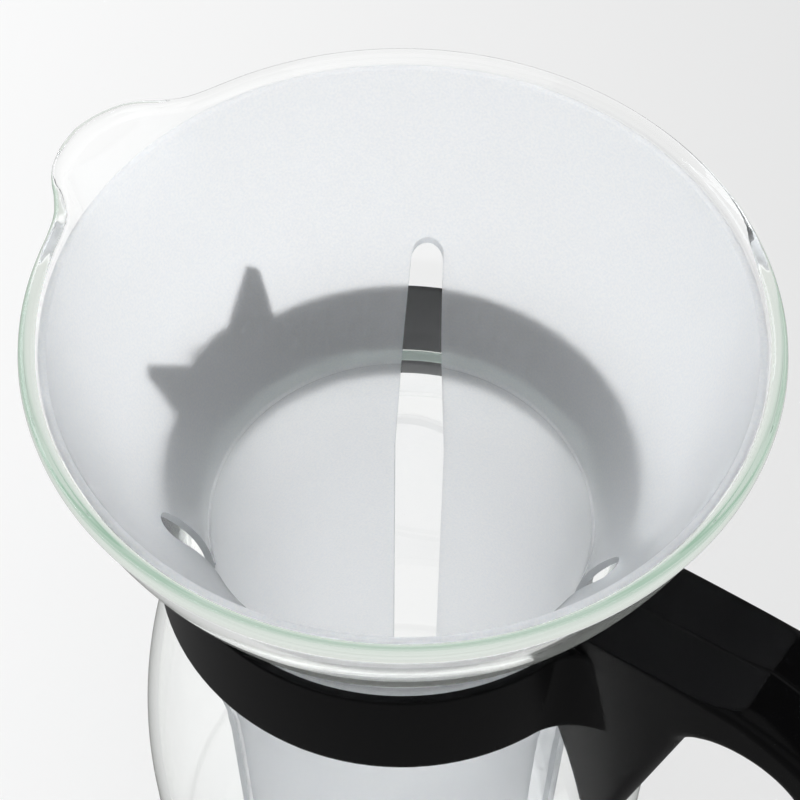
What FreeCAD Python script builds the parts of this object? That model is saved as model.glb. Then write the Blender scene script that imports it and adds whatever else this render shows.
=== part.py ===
import FreeCAD, Part
import math
import os

import Sketcher

# Ice cold-brew server: a waisted glass jug with a pouring spout, a frosted ice strainer that
# hangs in it, and a black collar and handle in two halves, clamped round the glass waist.
# Millimetres, +Z up. The jug's axis is Z and the table is z = 0. The handle points to +X and
# the spout to -X. Left and right are those of the person pouring, so left is -Y.

OUT_FOLDER = "parts"
SLOT_COUNT = 3
DRAIN_COUNT = 6
SCREW_PLACES = ("root_screw", "arm_screw", "grip_screw")

# Which way an arc of an outline turns on its way to the next corner.
LEFT = 1
RIGHT = -1

# The driving sizes, one cell of the sheet each. Heights of the collar and the handle count from
# the waist of the glass and their reaches from its surface, so they follow the jug.
SIZES = {
    # glass server: base, body, shoulder, waist, bowl and rim
    "waist_radius": 46.6,
    "waist_height": 163.6,
    "bowl_depth": 71.4,
    "rim_radius": 70.0,
    "body_radius": 61.2,
    "glass_wall": 2.4,
    "bead_radius": 1.6,
    "lip_setback": 0.6,
    "bowl_curve": 110.0,
    "upper_waist_curve": 69.0,
    "lower_waist_curve": 60.0,
    "shoulder_curve": 240.0,
    "base_corner": 13.0,
    "base_thickness": 4.5,
    # pouring spout
    "spout_reach": 10.3,
    "spout_nose": 16.0,
    "spout_flank": 14.0,
    "spout_length": 26.0,
    "spout_overlap": 0.6,
    # ice strainer, hung in the glass
    "strainer_gap": 0.4,
    "strainer_wall": 1.4,
    "strainer_drop": 2.0,
    "tube_clearance": 2.6,
    "tube_draft": 0.8,
    "tube_curve": 56.0,
    "strainer_lift": 16.0,
    "foot_corner": 6.0,
    "slot_drop": 38.0,
    "slot_top_width": 6.9,
    "slot_width": 11.6,
    "slot_taper": 62.0,
    "slot_rise": 18.0,
    "drain_width": 4.4,
    "drain_inner": 9.0,
    "drain_length": 20.0,
    # collar round the waist
    "collar_gap": 0.3,
    "collar_fall": 7.7,
    "collar_rise": 18.3,
    "collar_low_wall": 4.4,
    "collar_high_wall": 1.7,
    "low_land": 4.1,
    "high_land": 7.4,
    "relief_depth": 2.4,
    # ears of the collar, either side of the spout
    "ear_wall": 1.4,
    "ear_angle": 19.2,
    "ear_rise": 13.3,
    "ear_tip_offset": 16.6,
    "ear_side_width": 3.4,
    "ear_side_fall": 2.8,
    "ear_inner_offset": 6.6,
    "ear_root_rise": 4.3,
    "ear_bridge_rise": 4.9,
    # handle: its width, and its arm, crest, bend, grip, finger gap and web seen from the side
    "handle_half_width": 12.2,
    "handle_draft": 3.4,
    "handle_edge": 3.6,
    "brow_rise": 4.2,
    "gusset_low_curve": 15.0,
    "gusset_high_curve": 8.0,
    "gusset_bite": 1.0,
    "gusset_sink": 0.1,
    "root_bite": 2.9,
    "root_rise": 23.4,
    "thumb_length": 13.0,
    "thumb_rise": 3.6,
    "thumb_curve": 43.0,
    "crest_setback": 29.7,
    "crest_rise": 6.8,
    "knuckle_curve": 45.0,
    "knuckle_setback": 10.2,
    "knuckle_fall": 7.7,
    "bend_curve": 24.0,
    "bend_fall": 27.4,
    "grip_reach": 68.1,
    "grip_curve": 300.0,
    "grip_sweep": 11.0,
    "grip_length": 80.7,
    "grip_thickness": 13.4,
    "arch_curve": 12.5,
    "palm_length": 9.3,
    "palm_fall": 3.4,
    "palm_corner": 12.2,
    "palm_corner_width": 4.6,
    "palm_corner_height": 6.5,
    "web_fall": 57.6,
    "web_tip_width": 2.4,
    "web_tip_corner": 4.4,
    # screws that hold the two halves together
    "screw_radius": 1.45,
    "screw_head_radius": 2.8,
    "screw_head_height": 2.0,
    "screw_bite": 7.0,
    "screw_fit": 0.1,
    "head_fit": 0.3,
    "head_seat": 5.0,
    "root_screw_reach": 15.4,
    "root_screw_fall": 3.6,
    "arm_screw_setback": 3.0,
    "arm_screw_depth": 8.6,
    "grip_screw_rise": 18.3,
    # hinge between the halves, on the spout side
    "pin_radius": 1.2,
    "pin_fit": 0.05,
    "pin_standoff": 1.9,
    "barrel_radius": 3.0,
    "barrel_inset": 1.5,
    "barrel_middle": 9.6,
    "barrel_gap": 0.3,
}


def tangent_centre(point, radius, other, other_radius):
    """Centre of the circle through point that touches the other circle from the axis side."""
    reach = radius + other_radius
    dx = other[0] - point[0]
    dz = other[1] - point[1]
    span = math.hypot(dx, dz)
    along = (radius ** 2 - reach ** 2 + span ** 2) / (2 * span)
    across = math.sqrt(radius ** 2 - along ** 2)
    return (point[0] + (along * dx + across * dz) / span, point[1] + (along * dz - across * dx) / span)


def between(start, end, share):
    return (start[0] + (end[0] - start[0]) * share, start[1] + (end[1] - start[1]) * share)


def hollow_side(centre, radius, z):
    """Radius of a waist that curves in, at height z: its circle's centre is outside the glass."""
    return centre[0] - math.sqrt(radius ** 2 - (z - centre[1]) ** 2)


def round_side(centre, radius, z):
    """Radius of a side that bulges out, at height z."""
    return centre[0] + math.sqrt(radius ** 2 - (z - centre[1]) ** 2)


def add_point(sizes, name, point):
    sizes[name + "_r"] = point[0]
    sizes[name + "_z"] = point[1]


def derive_glass(sizes):
    """Centres and joints of the arcs that the glass wall is drawn with, outside and inside."""
    wall = sizes["glass_wall"]
    sizes["rim_height"] = sizes["waist_height"] + sizes["bowl_depth"]
    low_curve = sizes["lower_waist_curve"]
    high_curve = sizes["upper_waist_curve"]
    round_curve = sizes["shoulder_curve"]
    low = (sizes["waist_radius"] + low_curve, sizes["waist_height"])
    high = (sizes["waist_radius"] + high_curve, sizes["waist_height"])
    lip = (sizes["rim_radius"] - sizes["lip_setback"], sizes["rim_height"] - sizes["bead_radius"])
    bowl = tangent_centre(lip, sizes["bowl_curve"], high, high_curve)
    shoulder_r = sizes["body_radius"] - round_curve
    drop = math.sqrt((low_curve + round_curve) ** 2 - (low[0] - shoulder_r) ** 2)
    shoulder = (shoulder_r, sizes["waist_height"] - drop)
    add_point(sizes, "low_waist_centre", low)
    add_point(sizes, "high_waist_centre", high)
    add_point(sizes, "bowl_centre", bowl)
    add_point(sizes, "lip", lip)
    for skin, inset in (("out", 0.0), ("in", wall)):
        bowl_share = (high_curve + inset) / (high_curve + sizes["bowl_curve"])
        shoulder_share = (low_curve + inset) / (low_curve + round_curve)
        add_point(sizes, "bowl_joint_" + skin, between(high, bowl, bowl_share))
        add_point(sizes, "shoulder_joint_" + skin, between(low, shoulder, shoulder_share))
        sizes["lip_" + skin + "_r"] = round_side(bowl, sizes["bowl_curve"] - inset, lip[1])
        sizes["waist_" + skin + "_r"] = sizes["waist_radius"] - inset
        sizes["body_" + skin + "_r"] = sizes["body_radius"] - inset
        sizes["bowl_curve_" + skin] = sizes["bowl_curve"] - inset
        sizes["high_waist_curve_" + skin] = high_curve + inset
        sizes["low_waist_curve_" + skin] = low_curve + inset
        sizes["shoulder_curve_" + skin] = round_curve - inset
        sizes["corner_curve_" + skin] = sizes["base_corner"] - inset
    sizes["shoulder_z"] = shoulder[1]
    sizes["base_flat_r"] = sizes["body_radius"] - sizes["base_corner"]
    sizes["floor_corner_z"] = sizes["base_thickness"] + sizes["corner_curve_in"]
    sizes["bead_centre_r"] = sizes["rim_radius"] - sizes["bead_radius"]
    sizes["above_rim"] = sizes["rim_height"] + sizes["glass_wall"]


def derive_spout(sizes):
    """Plan outlines of the spout at three heights: a nose arc between two hollow flank arcs."""
    bowl = (sizes["bowl_centre_r"], sizes["bowl_centre_z"])
    wall = sizes["glass_wall"]
    lip_top = sizes["rim_height"] - sizes["bead_radius"] / 4
    overlap = sizes["spout_overlap"]
    full = sizes["rim_radius"] + sizes["spout_reach"]
    full -= round_side(bowl, sizes["bowl_curve"], lip_top) - overlap
    levels = {
        "low": (sizes["rim_height"] - sizes["spout_length"], overlap / 2, 0.75),
        "mid": (sizes["rim_height"] - sizes["spout_length"] / 2, full * 0.34, 0.88),
        "top": (lip_top, full, 1.0),
    }
    for level, (height, reach, share) in levels.items():
        base = round_side(bowl, sizes["bowl_curve"], height) - overlap
        nose = sizes["spout_nose"] * share
        add_spout_level(sizes, level + "_out", base, base + reach, nose, sizes["spout_flank"])
        add_spout_level(sizes, level + "_in", base - wall, base + reach - wall, nose - wall,
                        sizes["spout_flank"] + wall)
        sizes["spout_" + level + "_z"] = height
    rise = sizes["bead_radius"]
    base = sizes["lip_in_r"] - overlap
    add_spout_level(sizes, "over_in", base, base + full + rise, sizes["spout_nose"] - wall,
                    sizes["spout_flank"] + wall)
    sizes["spout_over_z"] = lip_top + rise


def add_spout_level(sizes, level, base, tip, nose, flank):
    """Corners of one outline: root, where it leaves the bowl, and meet, where the arcs touch."""
    nose_centre = tip - nose
    reach = base + flank
    cosine = (reach ** 2 + nose_centre ** 2 - (flank + nose) ** 2) / (2 * reach * nose_centre)
    angle = math.acos(cosine)
    flank_centre = (reach * math.cos(angle), reach * math.sin(angle))
    root = between((0.0, 0.0), flank_centre, base / reach)
    meet = between((nose_centre, 0.0), flank_centre, nose / (nose + flank))
    prefix = "spout_" + level + "_"
    sizes[prefix + "root_x"], sizes[prefix + "root_y"] = root
    sizes[prefix + "meet_x"], sizes[prefix + "meet_y"] = meet
    sizes[prefix + "nose"] = nose
    sizes[prefix + "flank"] = flank


def derive_strainer(sizes):
    """The strainer's bowl runs parallel to the glass bowl, and its tube hangs from it."""
    wall = sizes["strainer_wall"]
    sizes["tube_radius"] = sizes["waist_radius"] - sizes["glass_wall"] - sizes["tube_clearance"]
    sizes["tube_foot_radius"] = sizes["tube_radius"] - sizes["tube_draft"]
    bowl = (sizes["bowl_centre_r"], sizes["bowl_centre_z"])
    outer_curve = sizes["bowl_curve_in"] - sizes["strainer_gap"]
    hang_r = sizes["tube_radius"] + sizes["tube_curve"]
    reach = sizes["tube_curve"] + outer_curve
    hang = (hang_r, bowl[1] - math.sqrt(reach ** 2 - (hang_r - bowl[0]) ** 2))
    top = sizes["rim_height"] - sizes["strainer_drop"]
    sizes["strainer_top_z"] = top
    sizes["tube_top_z"] = hang[1]
    for skin, inset in (("out", 0.0), ("in", wall)):
        curve = outer_curve - inset
        add_point(sizes, "hang_" + skin, between(hang, bowl, (sizes["tube_curve"] + inset) / reach))
        sizes["strainer_bowl_" + skin] = curve
        sizes["strainer_neck_" + skin] = sizes["tube_curve"] + inset
        sizes["strainer_top_" + skin + "_r"] = round_side(bowl, curve, top)
        sizes["tube_" + skin + "_r"] = sizes["tube_radius"] - inset
        sizes["foot_" + skin + "_r"] = sizes["tube_foot_radius"] - inset
        sizes["foot_curve_" + skin] = sizes["foot_corner"] - inset
    sizes["foot_flat_r"] = sizes["tube_foot_radius"] - sizes["foot_corner"]
    sizes["foot_corner_z"] = sizes["strainer_lift"] + sizes["foot_corner"]
    sizes["foot_floor_z"] = sizes["strainer_lift"] + wall
    sizes["slot_top_z"] = sizes["rim_height"] - sizes["slot_drop"]
    sizes["slot_top_half"] = sizes["slot_top_width"] / 2
    sizes["slot_half"] = sizes["slot_width"] / 2
    sizes["slot_shoulder_z"] = sizes["slot_top_z"] - sizes["slot_top_half"]
    sizes["slot_full_z"] = sizes["slot_top_z"] - sizes["slot_taper"]
    sizes["slot_low_end"] = sizes["strainer_lift"] + sizes["slot_rise"]
    sizes["slot_heel_z"] = sizes["slot_low_end"] + sizes["slot_half"]
    sizes["drain_half"] = sizes["drain_width"] / 2
    sizes["drain_outer"] = sizes["drain_inner"] + sizes["drain_length"]
    sizes["drain_near"] = sizes["drain_inner"] + sizes["drain_half"]
    sizes["drain_far"] = sizes["drain_outer"] - sizes["drain_half"]
    sizes["drain_reach"] = sizes["strainer_lift"] + sizes["foot_corner"]


def derive_collar(sizes):
    """Where the collar's inner face, a gap off the glass, stands at each of its heights."""
    gap = sizes["collar_gap"]
    low = (sizes["low_waist_centre_r"], sizes["low_waist_centre_z"])
    high = (sizes["high_waist_centre_r"], sizes["high_waist_centre_z"])
    sizes["collar_low"] = sizes["waist_height"] - sizes["collar_fall"]
    sizes["collar_high"] = sizes["waist_height"] + sizes["collar_rise"]
    sizes["relief_low"] = sizes["collar_low"] + sizes["low_land"]
    sizes["relief_high"] = sizes["collar_high"] - sizes["high_land"]
    sizes["collar_low_curve"] = sizes["lower_waist_curve"] - gap
    sizes["collar_high_curve"] = sizes["upper_waist_curve"] - gap
    sizes["collar_waist_r"] = sizes["waist_radius"] + gap
    sizes["relief_radius"] = sizes["collar_waist_r"] + sizes["relief_depth"]
    for name in ("collar_low", "relief_low"):
        sizes[name + "_in"] = hollow_side(low, sizes["collar_low_curve"], sizes[name])
    for name in ("collar_high", "relief_high"):
        sizes[name + "_in"] = hollow_side(high, sizes["collar_high_curve"], sizes[name])
    sizes["collar_low_radius"] = sizes["collar_low_in"] + sizes["collar_low_wall"]
    sizes["collar_high_radius"] = sizes["collar_high_in"] + sizes["collar_high_wall"]


def derive_ears(sizes):
    """The ears stand on the collar's top, against the bowl, and lean in towards the spout."""
    high = (sizes["high_waist_centre_r"], sizes["high_waist_centre_z"])
    sizes["ear_top"] = sizes["collar_high"] + sizes["ear_rise"]
    sizes["ear_side_height"] = sizes["ear_top"] - sizes["ear_side_fall"]
    sizes["ear_side_offset"] = sizes["ear_tip_offset"] + sizes["ear_side_width"]
    sizes["ear_clear_y"] = sizes["ear_side_offset"] + sizes["ear_wall"]
    sizes["ear_root_height"] = sizes["collar_high"] + sizes["ear_root_rise"]
    sizes["ear_bridge_height"] = sizes["collar_high"] + sizes["ear_bridge_rise"]
    sizes["ear_low_z"] = sizes["collar_high"] - sizes["ear_wall"]
    sizes["ear_high_z"] = sizes["ear_top"] + sizes["ear_wall"]
    sizes["ear_outer_curve"] = sizes["collar_high_curve"] - sizes["ear_wall"]
    for name, height in (("low", sizes["ear_low_z"]), ("high", sizes["ear_high_z"])):
        sizes["ear_" + name + "_in"] = hollow_side(high, sizes["collar_high_curve"], height)
        sizes["ear_" + name + "_out"] = hollow_side(high, sizes["ear_outer_curve"], height)


def derive_handle(sizes):
    """Corners of the handle's side outline, from the arm's top round the grip to the web."""
    root_z = sizes["waist_height"] + sizes["root_rise"]
    crest_z = root_z + sizes["crest_rise"]
    grip = (sizes["waist_radius"] + sizes["grip_reach"], crest_z - sizes["bend_fall"])
    end = (grip[0] - sizes["grip_sweep"], grip[1] - sizes["grip_length"])
    crest = (grip[0] - sizes["crest_setback"], crest_z)
    sizes["brow_z"] = root_z + sizes["brow_rise"]
    add_point(sizes, "root", (sizes["collar_waist_r"] - sizes["root_bite"], root_z))
    add_point(sizes, "thumb", (crest[0] - sizes["thumb_length"], root_z + sizes["thumb_rise"]))
    add_point(sizes, "crest", crest)
    add_point(sizes, "knuckle", (grip[0] - sizes["knuckle_setback"], crest_z - sizes["knuckle_fall"]))
    add_point(sizes, "grip", grip)
    add_point(sizes, "grip_end", end)
    derive_grip(sizes, grip, end)
    arch_top = (sizes["arch_r"] - sizes["arch_curve"], sizes["arch_z"] + sizes["arch_curve"])
    palm = (arch_top[0] - sizes["palm_length"], arch_top[1] - sizes["palm_fall"])
    web = (palm[0] - sizes["palm_corner_width"], palm[1] - sizes["palm_corner_height"])
    add_point(sizes, "arch_top", arch_top)
    sizes["palm_curve"] = (sizes["palm_length"] ** 2 + sizes["palm_fall"] ** 2) / (2 * sizes["palm_fall"])
    add_point(sizes, "palm", palm)
    add_point(sizes, "web", web)
    derive_web(sizes, web)
    sizes["handle_low_half_width"] = sizes["handle_half_width"] - sizes["handle_draft"]
    sizes["taper_low_z"] = sizes["grip_end_z"] - sizes["grip_thickness"]
    sizes["taper_clear_y"] = sizes["handle_half_width"] + sizes["grip_thickness"]


def derive_grip(sizes, grip, end):
    """The grip's inner side runs parallel to its outer one; its end is half a circle."""
    dx = end[0] - grip[0]
    dz = end[1] - grip[1]
    chord = math.hypot(dx, dz)
    depth = math.sqrt(sizes["grip_curve"] ** 2 - chord ** 2 / 4)
    centre = ((grip[0] + end[0]) / 2 + depth * dz / chord, (grip[1] + end[1]) / 2 - depth * dx / chord)
    half = sizes["grip_thickness"] / 2
    middle = between(end, centre, half / sizes["grip_curve"])
    inward = ((middle[0] - end[0]) / half, (middle[1] - end[1]) / half)
    add_point(sizes, "arch", between(grip, centre, 2 * half / sizes["grip_curve"]))
    add_point(sizes, "grip_inner", between(end, centre, 2 * half / sizes["grip_curve"]))
    add_point(sizes, "grip_tip", (middle[0] - half * inward[1], middle[1] + half * inward[0]))
    sizes["grip_end_curve"] = half
    sizes["grip_inner_curve"] = sizes["grip_curve"] - 2 * half
    height = end[1] + sizes["grip_screw_rise"]
    add_point(sizes, "grip_screw", (round_side(centre, sizes["grip_curve"] - half, height), height))


def derive_web(sizes, web):
    """The web's free edge runs down to a round tip on the glass shoulder, a gap off the glass."""
    gap = sizes["collar_gap"]
    low = (sizes["low_waist_centre_r"], sizes["low_waist_centre_z"])
    high = (sizes["high_waist_centre_r"], sizes["high_waist_centre_z"])
    shoulder = (sizes["body_radius"] - sizes["shoulder_curve"], sizes["shoulder_z"])
    sizes["glass_clear_curve"] = sizes["shoulder_curve"] + gap
    share = sizes["collar_low_curve"] / (sizes["lower_waist_curve"] + sizes["shoulder_curve"])
    add_point(sizes, "glass_clear_joint", between(low, shoulder, share))
    sizes["glass_clear_low_r"] = sizes["body_radius"] + gap
    sizes["glass_clear_high_z"] = sizes["crest_z"]
    sizes["glass_clear_high_r"] = hollow_side(high, sizes["collar_high_curve"], sizes["crest_z"])
    tip_z = sizes["waist_height"] - sizes["web_fall"]
    tip_r = round_side(shoulder, sizes["glass_clear_curve"], tip_z) + sizes["web_tip_width"]
    slope = math.atan2(web[1] - tip_z, web[0] - tip_r)
    corner = sizes["web_tip_corner"]
    add_point(sizes, "web_tip", (tip_r, tip_z))
    sizes["web_foot_r"] = tip_r - corner * math.sin(slope)
    sizes["web_foot_z"] = tip_z + corner * math.cos(slope) - corner


def derive_gusset(sizes):
    """Plan of the round corner between collar and handle side, at the collar's foot and top."""
    bite = sizes["gusset_bite"]
    lean = sizes["handle_draft"] / (sizes["crest_z"] - sizes["taper_low_z"])
    for level in ("low", "high"):
        curve = sizes["gusset_" + level + "_curve"]
        fall = sizes["crest_z"] - sizes["collar_" + level]
        ring = sizes["collar_" + level + "_radius"] - sizes["gusset_sink"]
        half = sizes["handle_half_width"] - lean * fall - sizes["gusset_sink"]
        reach = math.sqrt((ring + curve) ** 2 - (half + curve) ** 2)
        share = ring / (ring + curve)
        inner_y = half - bite
        prefix = "gusset_" + level + "_"
        sizes[prefix + "ring_x"] = reach * share
        sizes[prefix + "ring_y"] = (half + curve) * share
        sizes[prefix + "bed_x"] = reach * share * (1 - bite / ring)
        sizes[prefix + "bed_y"] = (half + curve) * share * (1 - bite / ring)
        sizes[prefix + "side_x"] = reach
        sizes[prefix + "side_y"] = half
        sizes[prefix + "inner_y"] = inner_y
        sizes[prefix + "inner_x"] = math.sqrt((ring - bite) ** 2 - inner_y ** 2)


def derive_fasteners(sizes):
    """Screws, their holes and head seats, and the knuckles and recesses of the hinge."""
    add_point(sizes, "root_screw", (sizes["waist_radius"] + sizes["root_screw_reach"],
                                    sizes["waist_height"] - sizes["root_screw_fall"]))
    add_point(sizes, "arm_screw", (sizes["crest_r"] - sizes["arm_screw_setback"],
                                   sizes["crest_z"] - sizes["arm_screw_depth"]))
    sizes["screw_hole"] = sizes["screw_radius"] + sizes["screw_fit"]
    sizes["head_hole"] = sizes["screw_head_radius"] + sizes["head_fit"]
    sizes["bite_depth"] = sizes["screw_bite"] + sizes["head_fit"]
    sizes["screw_length"] = sizes["screw_bite"] + sizes["head_seat"]
    sizes["head_top_y"] = sizes["head_seat"] + sizes["screw_head_height"]
    sizes["pin_hole"] = sizes["pin_radius"] + sizes["pin_fit"]
    sizes["barrel_low"] = sizes["collar_low"] + sizes["barrel_inset"]
    sizes["barrel_high"] = sizes["collar_high"] - sizes["barrel_inset"]
    sizes["barrel_x"] = (sizes["collar_low_radius"] + sizes["collar_high_radius"]) / 2 + sizes["pin_standoff"]
    sizes["barrel_clearance"] = sizes["barrel_radius"] + sizes["barrel_gap"]
    middle = (sizes["barrel_low"] + sizes["barrel_high"]) / 2
    gap = sizes["barrel_gap"]
    sizes["middle_low_z"] = middle - sizes["barrel_middle"] / 2
    sizes["middle_high_z"] = middle + sizes["barrel_middle"] / 2
    sizes["outer_knuckle"] = sizes["middle_low_z"] - gap - sizes["barrel_low"]
    sizes["outer_recess"] = sizes["outer_knuckle"] + 2 * gap
    sizes["lower_recess_z"] = sizes["barrel_low"] - gap
    sizes["upper_low_z"] = sizes["middle_high_z"] + gap
    sizes["middle_recess_z"] = sizes["middle_low_z"] - gap
    sizes["middle_recess"] = sizes["barrel_middle"] + 2 * gap
    sizes["pin_length"] = sizes["barrel_high"] - sizes["barrel_low"]


def all_sizes():
    """The driving sizes with every size that follows from them."""
    sizes = dict(SIZES)
    sizes["zero"] = 0.0
    derive_glass(sizes)
    derive_spout(sizes)
    derive_strainer(sizes)
    derive_collar(sizes)
    derive_ears(sizes)
    derive_handle(sizes)
    derive_gusset(sizes)
    derive_fasteners(sizes)
    return sizes


def write_sheet(doc, sizes):
    sheet = doc.addObject("Spreadsheet::Sheet", "dims")
    for row, (name, value) in enumerate(sizes.items(), start=1):
        sheet.set("A%d" % row, name)
        sheet.set("B%d" % row, repr(value))
        sheet.setAlias("B%d" % row, name)
    doc.recompute()
    return sheet


def cell(name):
    """Expression for a named size; a leading minus sign mirrors it."""
    if name.startswith("-"):
        return "-dims." + name[1:]
    return "dims." + name


def amount(sizes, name):
    if name.startswith("-"):
        return -sizes[name[1:]]
    return sizes[name]


def signed(side, name):
    """The name itself on the right half (+Y), mirrored on the left half (-Y)."""
    if side < 0:
        return "-" + name
    return name


def add_sketch(body, name, role, rise=None):
    """Sketch on one of the body's origin planes, raised along the plane's normal by a size."""
    sketch = body.newObject("Sketcher::SketchObject", name)
    plane = [item for item in body.Origin.OriginFeatures if item.Role == role][0]
    sketch.AttachmentSupport = [(plane, "")]
    sketch.MapMode = "FlatFace"
    if rise is not None:
        sketch.setExpression("AttachmentOffset.Base.z", cell(rise))
    return sketch


def pin_down(sketch, kind, edge, end, name, sizes):
    """Bind one coordinate of a corner to its size."""
    index = sketch.addConstraint(Sketcher.Constraint(kind, -1, 1, edge, end, amount(sizes, name)))
    sketch.setExpression("Constraints[%d]" % index, cell(name))


def arc_middle(start, finish, radius, turn):
    """The point half way along an arc that turns left or right from start to finish."""
    dx = finish[0] - start[0]
    dy = finish[1] - start[1]
    span = math.hypot(dx, dy)
    sagitta = radius - math.sqrt(max(radius ** 2 - span ** 2 / 4, 0.0))
    return ((start[0] + finish[0]) / 2 + turn * sagitta * dy / span,
            (start[1] + finish[1]) / 2 - turn * sagitta * dx / span)


def draw_outline(sketch, corners, sizes):
    """Closed outline: each corner is (x, y) for a straight edge or (x, y, radius, turn) for an arc."""
    places = [FreeCAD.Vector(amount(sizes, corner[0]), amount(sizes, corner[1]), 0) for corner in corners]
    ends = []
    for index, corner in enumerate(corners):
        start = places[index]
        finish = places[(index + 1) % len(corners)]
        if len(corner) == 2:
            sketch.addGeometry(Part.LineSegment(start, finish), False)
            ends.append((1, 2))
            continue
        middle = FreeCAD.Vector(*arc_middle(start, finish, sizes[corner[2]], corner[3]), 0)
        if corner[3] == LEFT:
            sketch.addGeometry(Part.Arc(start, middle, finish), False)
            ends.append((1, 2))
        else:
            sketch.addGeometry(Part.Arc(finish, middle, start), False)
            ends.append((2, 1))
    for index, corner in enumerate(corners):
        following = (index + 1) % len(corners)
        sketch.addConstraint(
            Sketcher.Constraint("Coincident", index, ends[index][1], following, ends[following][0]))
        pin_down(sketch, "DistanceX", index, ends[index][0], corner[0], sizes)
        pin_down(sketch, "DistanceY", index, ends[index][0], corner[1], sizes)
        if len(corner) > 2:
            radius = sketch.addConstraint(Sketcher.Constraint("Radius", index, sizes[corner[2]]))
            sketch.setExpression("Constraints[%d]" % radius, cell(corner[2]))


def draw_circles(sketch, circles, sizes):
    """Circles, each (x, y, radius)."""
    for index, (x, y, radius) in enumerate(circles):
        centre = FreeCAD.Vector(amount(sizes, x), amount(sizes, y), 0)
        sketch.addGeometry(Part.Circle(centre, FreeCAD.Vector(0, 0, 1), sizes[radius]), False)
        pin_down(sketch, "DistanceX", index, 3, x, sizes)
        pin_down(sketch, "DistanceY", index, 3, y, sizes)
        bound = sketch.addConstraint(Sketcher.Constraint("Radius", index, sizes[radius]))
        sketch.setExpression("Constraints[%d]" % bound, cell(radius))


def turn_profile(body, kind, name, sketch, angle=None, reverse=False):
    """Revolution or Groove of a sketch about the vertical axis."""
    feature = body.newObject("PartDesign::" + kind, name)
    feature.Profile = sketch
    feature.ReferenceAxis = (sketch, ["V_Axis"])
    feature.Angle = 360
    if angle is not None:
        feature.setExpression("Angle", cell(angle))
    feature.Reversed = reverse
    return feature


def push_profile(body, kind, name, sketch, length, reverse=False):
    """Pad or Pocket of a sketch by a named length."""
    feature = body.newObject("PartDesign::" + kind, name)
    feature.Profile = sketch
    feature.setExpression("Length", cell(length))
    feature.Reversed = reverse
    return feature


def repeat_round(body, name, feature, count):
    """Repeat a feature evenly round the vertical axis."""
    pattern = body.newObject("PartDesign::PolarPattern", name)
    axis = [item for item in body.Origin.OriginFeatures if item.Role == "Z_Axis"][0]
    pattern.Originals = [feature]
    pattern.Axis = (axis, [""])
    pattern.Angle = 360
    pattern.Occurrences = count
    body.Tip = pattern
    return pattern


def new_body(doc, label):
    body = doc.addObject("PartDesign::Body", label)
    body.Label = label
    return body


def make_glass(doc, sizes):
    """Blown glass jug: solid of revolution, spout lofted on, then both hollows taken out."""
    body = new_body(doc, "glass_server")
    outside = add_sketch(body, "outer_profile", "XZ_Plane")
    draw_outline(outside, [
        ("zero", "zero"),
        ("base_flat_r", "zero", "corner_curve_out", LEFT),
        ("body_out_r", "base_corner"),
        ("body_out_r", "shoulder_z", "shoulder_curve_out", LEFT),
        ("shoulder_joint_out_r", "shoulder_joint_out_z", "low_waist_curve_out", RIGHT),
        ("waist_out_r", "waist_height", "high_waist_curve_out", RIGHT),
        ("bowl_joint_out_r", "bowl_joint_out_z", "bowl_curve_out", LEFT),
        ("lip_out_r", "lip_z"),
        ("zero", "lip_z"),
    ], sizes)
    turn_profile(body, "Revolution", "outer_form", outside)
    loft_spout(body, "AdditiveLoft", "spout_form", ("low_out", "mid_out", "top_out"), sizes)
    bead = add_sketch(body, "bead_profile", "XZ_Plane")
    draw_circles(bead, [("bead_centre_r", "lip_z", "bead_radius")], sizes)
    turn_profile(body, "Revolution", "rim_bead", bead)
    inside = add_sketch(body, "inner_profile", "XZ_Plane")
    draw_outline(inside, [
        ("zero", "base_thickness"),
        ("base_flat_r", "base_thickness", "corner_curve_in", LEFT),
        ("body_in_r", "floor_corner_z"),
        ("body_in_r", "shoulder_z", "shoulder_curve_in", LEFT),
        ("shoulder_joint_in_r", "shoulder_joint_in_z", "low_waist_curve_in", RIGHT),
        ("waist_in_r", "waist_height", "high_waist_curve_in", RIGHT),
        ("bowl_joint_in_r", "bowl_joint_in_z", "bowl_curve_in", LEFT),
        ("lip_in_r", "lip_z"),
        ("lip_in_r", "above_rim"),
        ("zero", "above_rim"),
    ], sizes)
    turn_profile(body, "Groove", "hollow", inside)
    loft_spout(body, "SubtractiveLoft", "spout_channel", ("low_in", "mid_in", "top_in", "over_in"), sizes)
    return body


def loft_spout(body, kind, name, levels, sizes):
    """Loft through the spout's plan outlines, from the lowest up."""
    sections = []
    for level in levels:
        prefix = "spout_" + level + "_"
        sketch = add_sketch(body, name + "_" + level, "XY_Plane", "spout_" + level.split("_")[0] + "_z")
        draw_outline(sketch, [
            ("-" + prefix + "root_x", "-" + prefix + "root_y", prefix + "flank", LEFT),
            ("-" + prefix + "meet_x", "-" + prefix + "meet_y", prefix + "nose", RIGHT),
            ("-" + prefix + "meet_x", prefix + "meet_y", prefix + "flank", LEFT),
            ("-" + prefix + "root_x", prefix + "root_y"),
        ], sizes)
        sections.append(sketch)
    loft = body.newObject("PartDesign::" + kind, name)
    loft.Profile = sections[0]
    loft.Sections = sections[1:]
    return loft


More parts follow.
